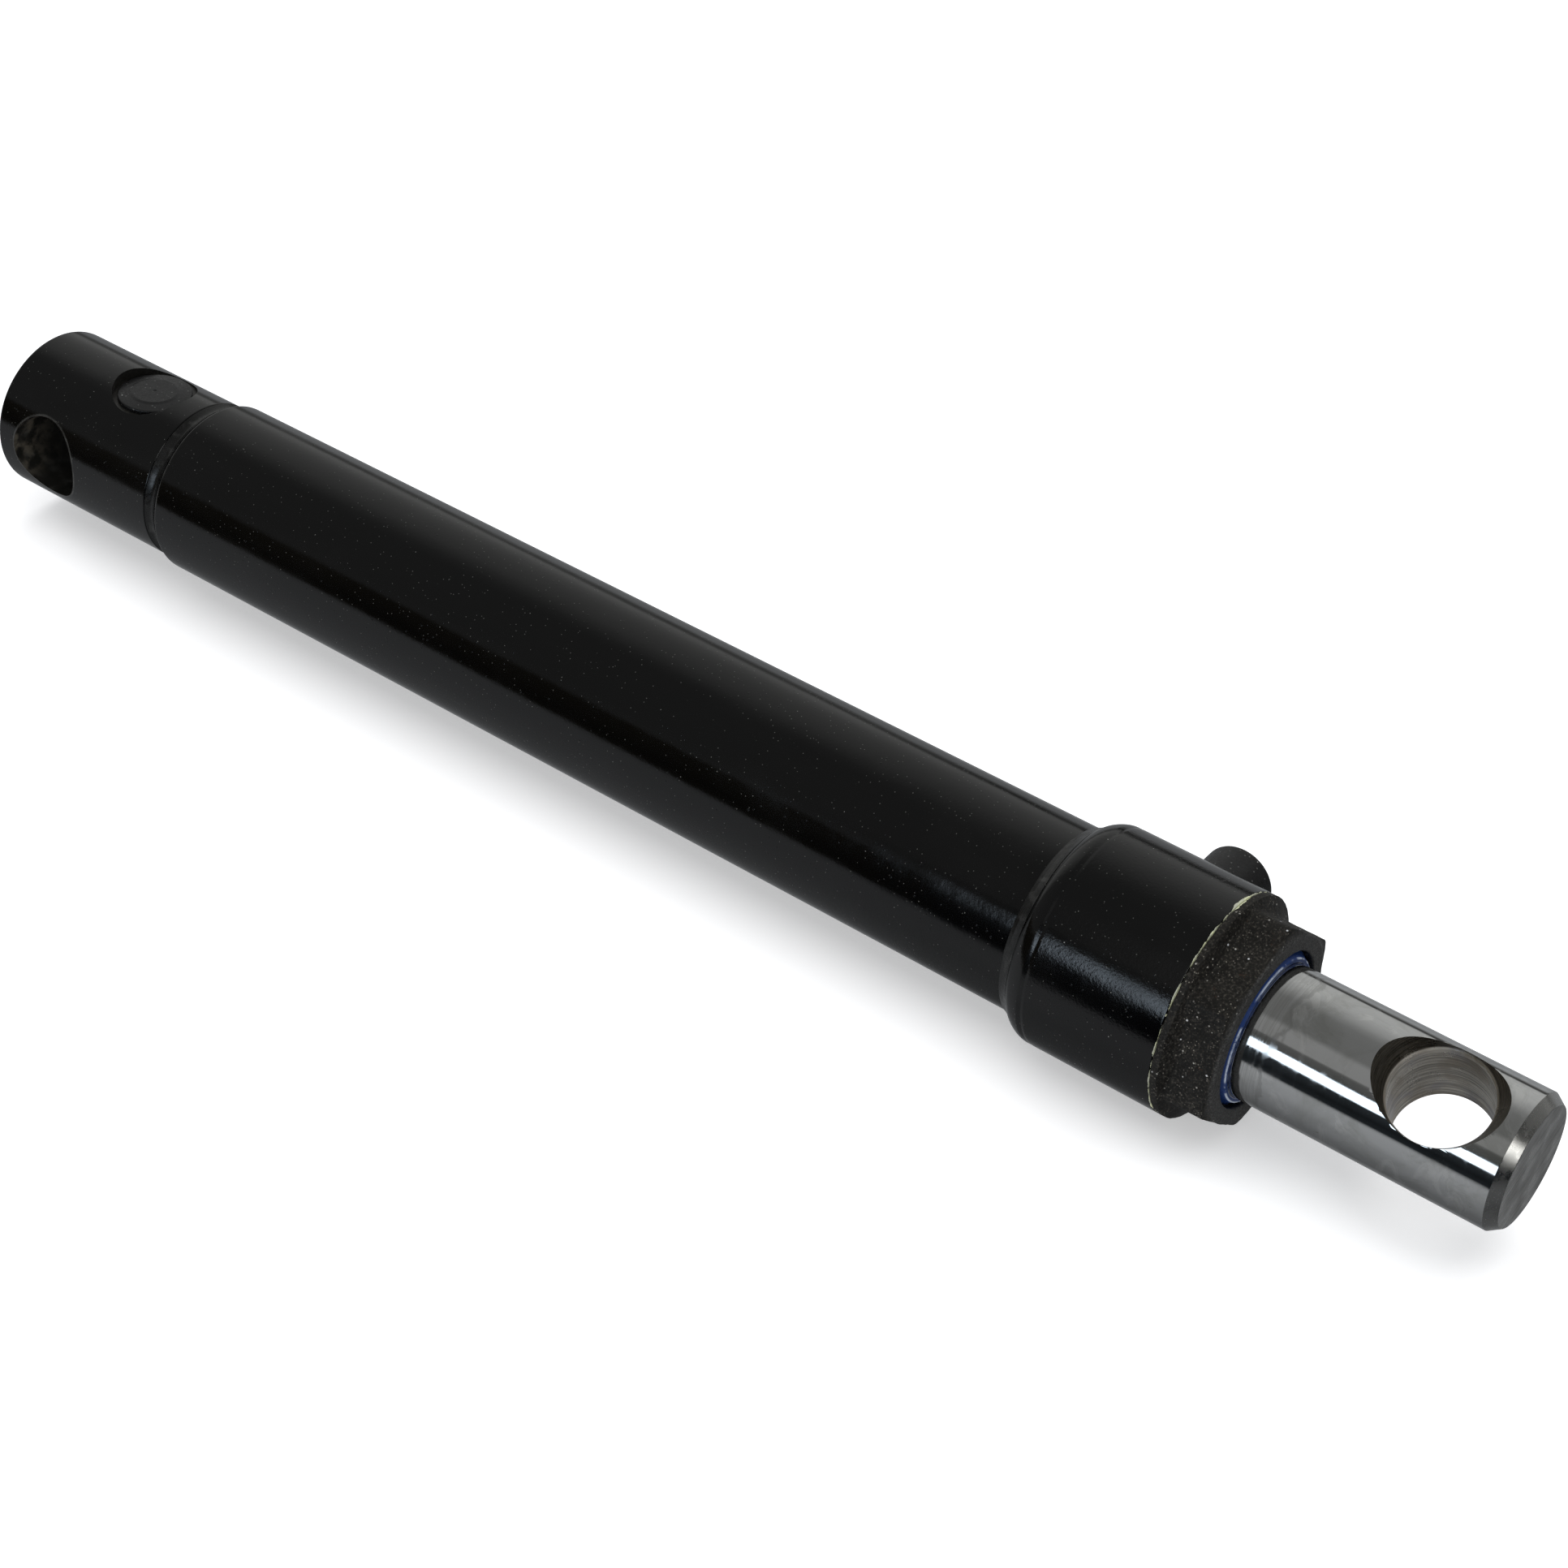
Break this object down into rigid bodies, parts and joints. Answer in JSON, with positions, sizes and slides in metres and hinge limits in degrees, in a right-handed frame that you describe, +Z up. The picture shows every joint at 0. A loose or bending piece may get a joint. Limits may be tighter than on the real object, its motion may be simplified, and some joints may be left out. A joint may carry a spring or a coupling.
{
  "type": "hydraulic cylinder",
  "caption": "Double-acting hydraulic cylinder: round base bar with a cross-drilled pin eye, barrel, bell head with screwed hex gland, and a chromed rod drilled for a pin.",
  "frame": {"origin": "centre of the base end face, on the cylinder axis", "axes": "+X along the cylinder axis towards the rod eye, +Z up through the base port, base pin hole along Y"},
  "size_m": [0.52, 0.0808, 0.0636],
  "materials": {
    "gloss_black_paint": "gloss black enamel over steel",
    "cast_iron_black": "rough cast surface, blackened",
    "hard_chrome": "ground and polished hard chrome",
    "machined_steel": "turned steel",
    "black_plastic": "moulded polyethylene",
    "blue_polyurethane": "dark blue polyurethane",
    "nitrile_rubber": "nitrile rubber",
    "filled_ptfe": "bronze-filled sliding plastic",
    "nylon_wear": "glass-filled nylon"
  },
  "bodies": {
    "barrel": {"base_eye": "gloss_black_paint", "base_weld": "gloss_black_paint", "barrel_tube": "gloss_black_paint", "head_bell": "gloss_black_paint", "bell_weld": "gloss_black_paint", "head_port_boss": "gloss_black_paint", "head_port_weld": "gloss_black_paint", "head_port_cap": "black_plastic", "base_port_plug": "black_plastic", "gland_nut": "cast_iron_black", "gland_o_ring": "nitrile_rubber", "rod_guide_ring": "nylon_wear", "rod_seal": "blue_polyurethane", "rod_seal_expander": "nitrile_rubber", "rod_backup_ring": "filled_ptfe", "rod_wiper": "blue_polyurethane"},
    "piston_rings": {"piston_seal": "filled_ptfe", "piston_expander_ring": "nitrile_rubber", "piston_wear_ring_rear": "nylon_wear", "piston_wear_ring_front": "nylon_wear"},
    "rod_and_piston": {"rod": "hard_chrome", "piston": "machined_steel", "piston_nut": "machined_steel", "piston_static_o_ring": "nitrile_rubber", "stop_tube": "machined_steel"}
  },
  "joints": [
    {"name": "rod_stroke", "type": "slide", "parent": "barrel", "child": "piston_rings", "axis": [1, 0, 0], "range_m": [0, 0.254]},
    {"name": "rod_swivel", "type": "hinge", "parent": "piston_rings", "child": "rod_and_piston", "pos_m": [0.1, 0, 0], "axis": [1, 0, 0], "continuous": true}
  ]
}
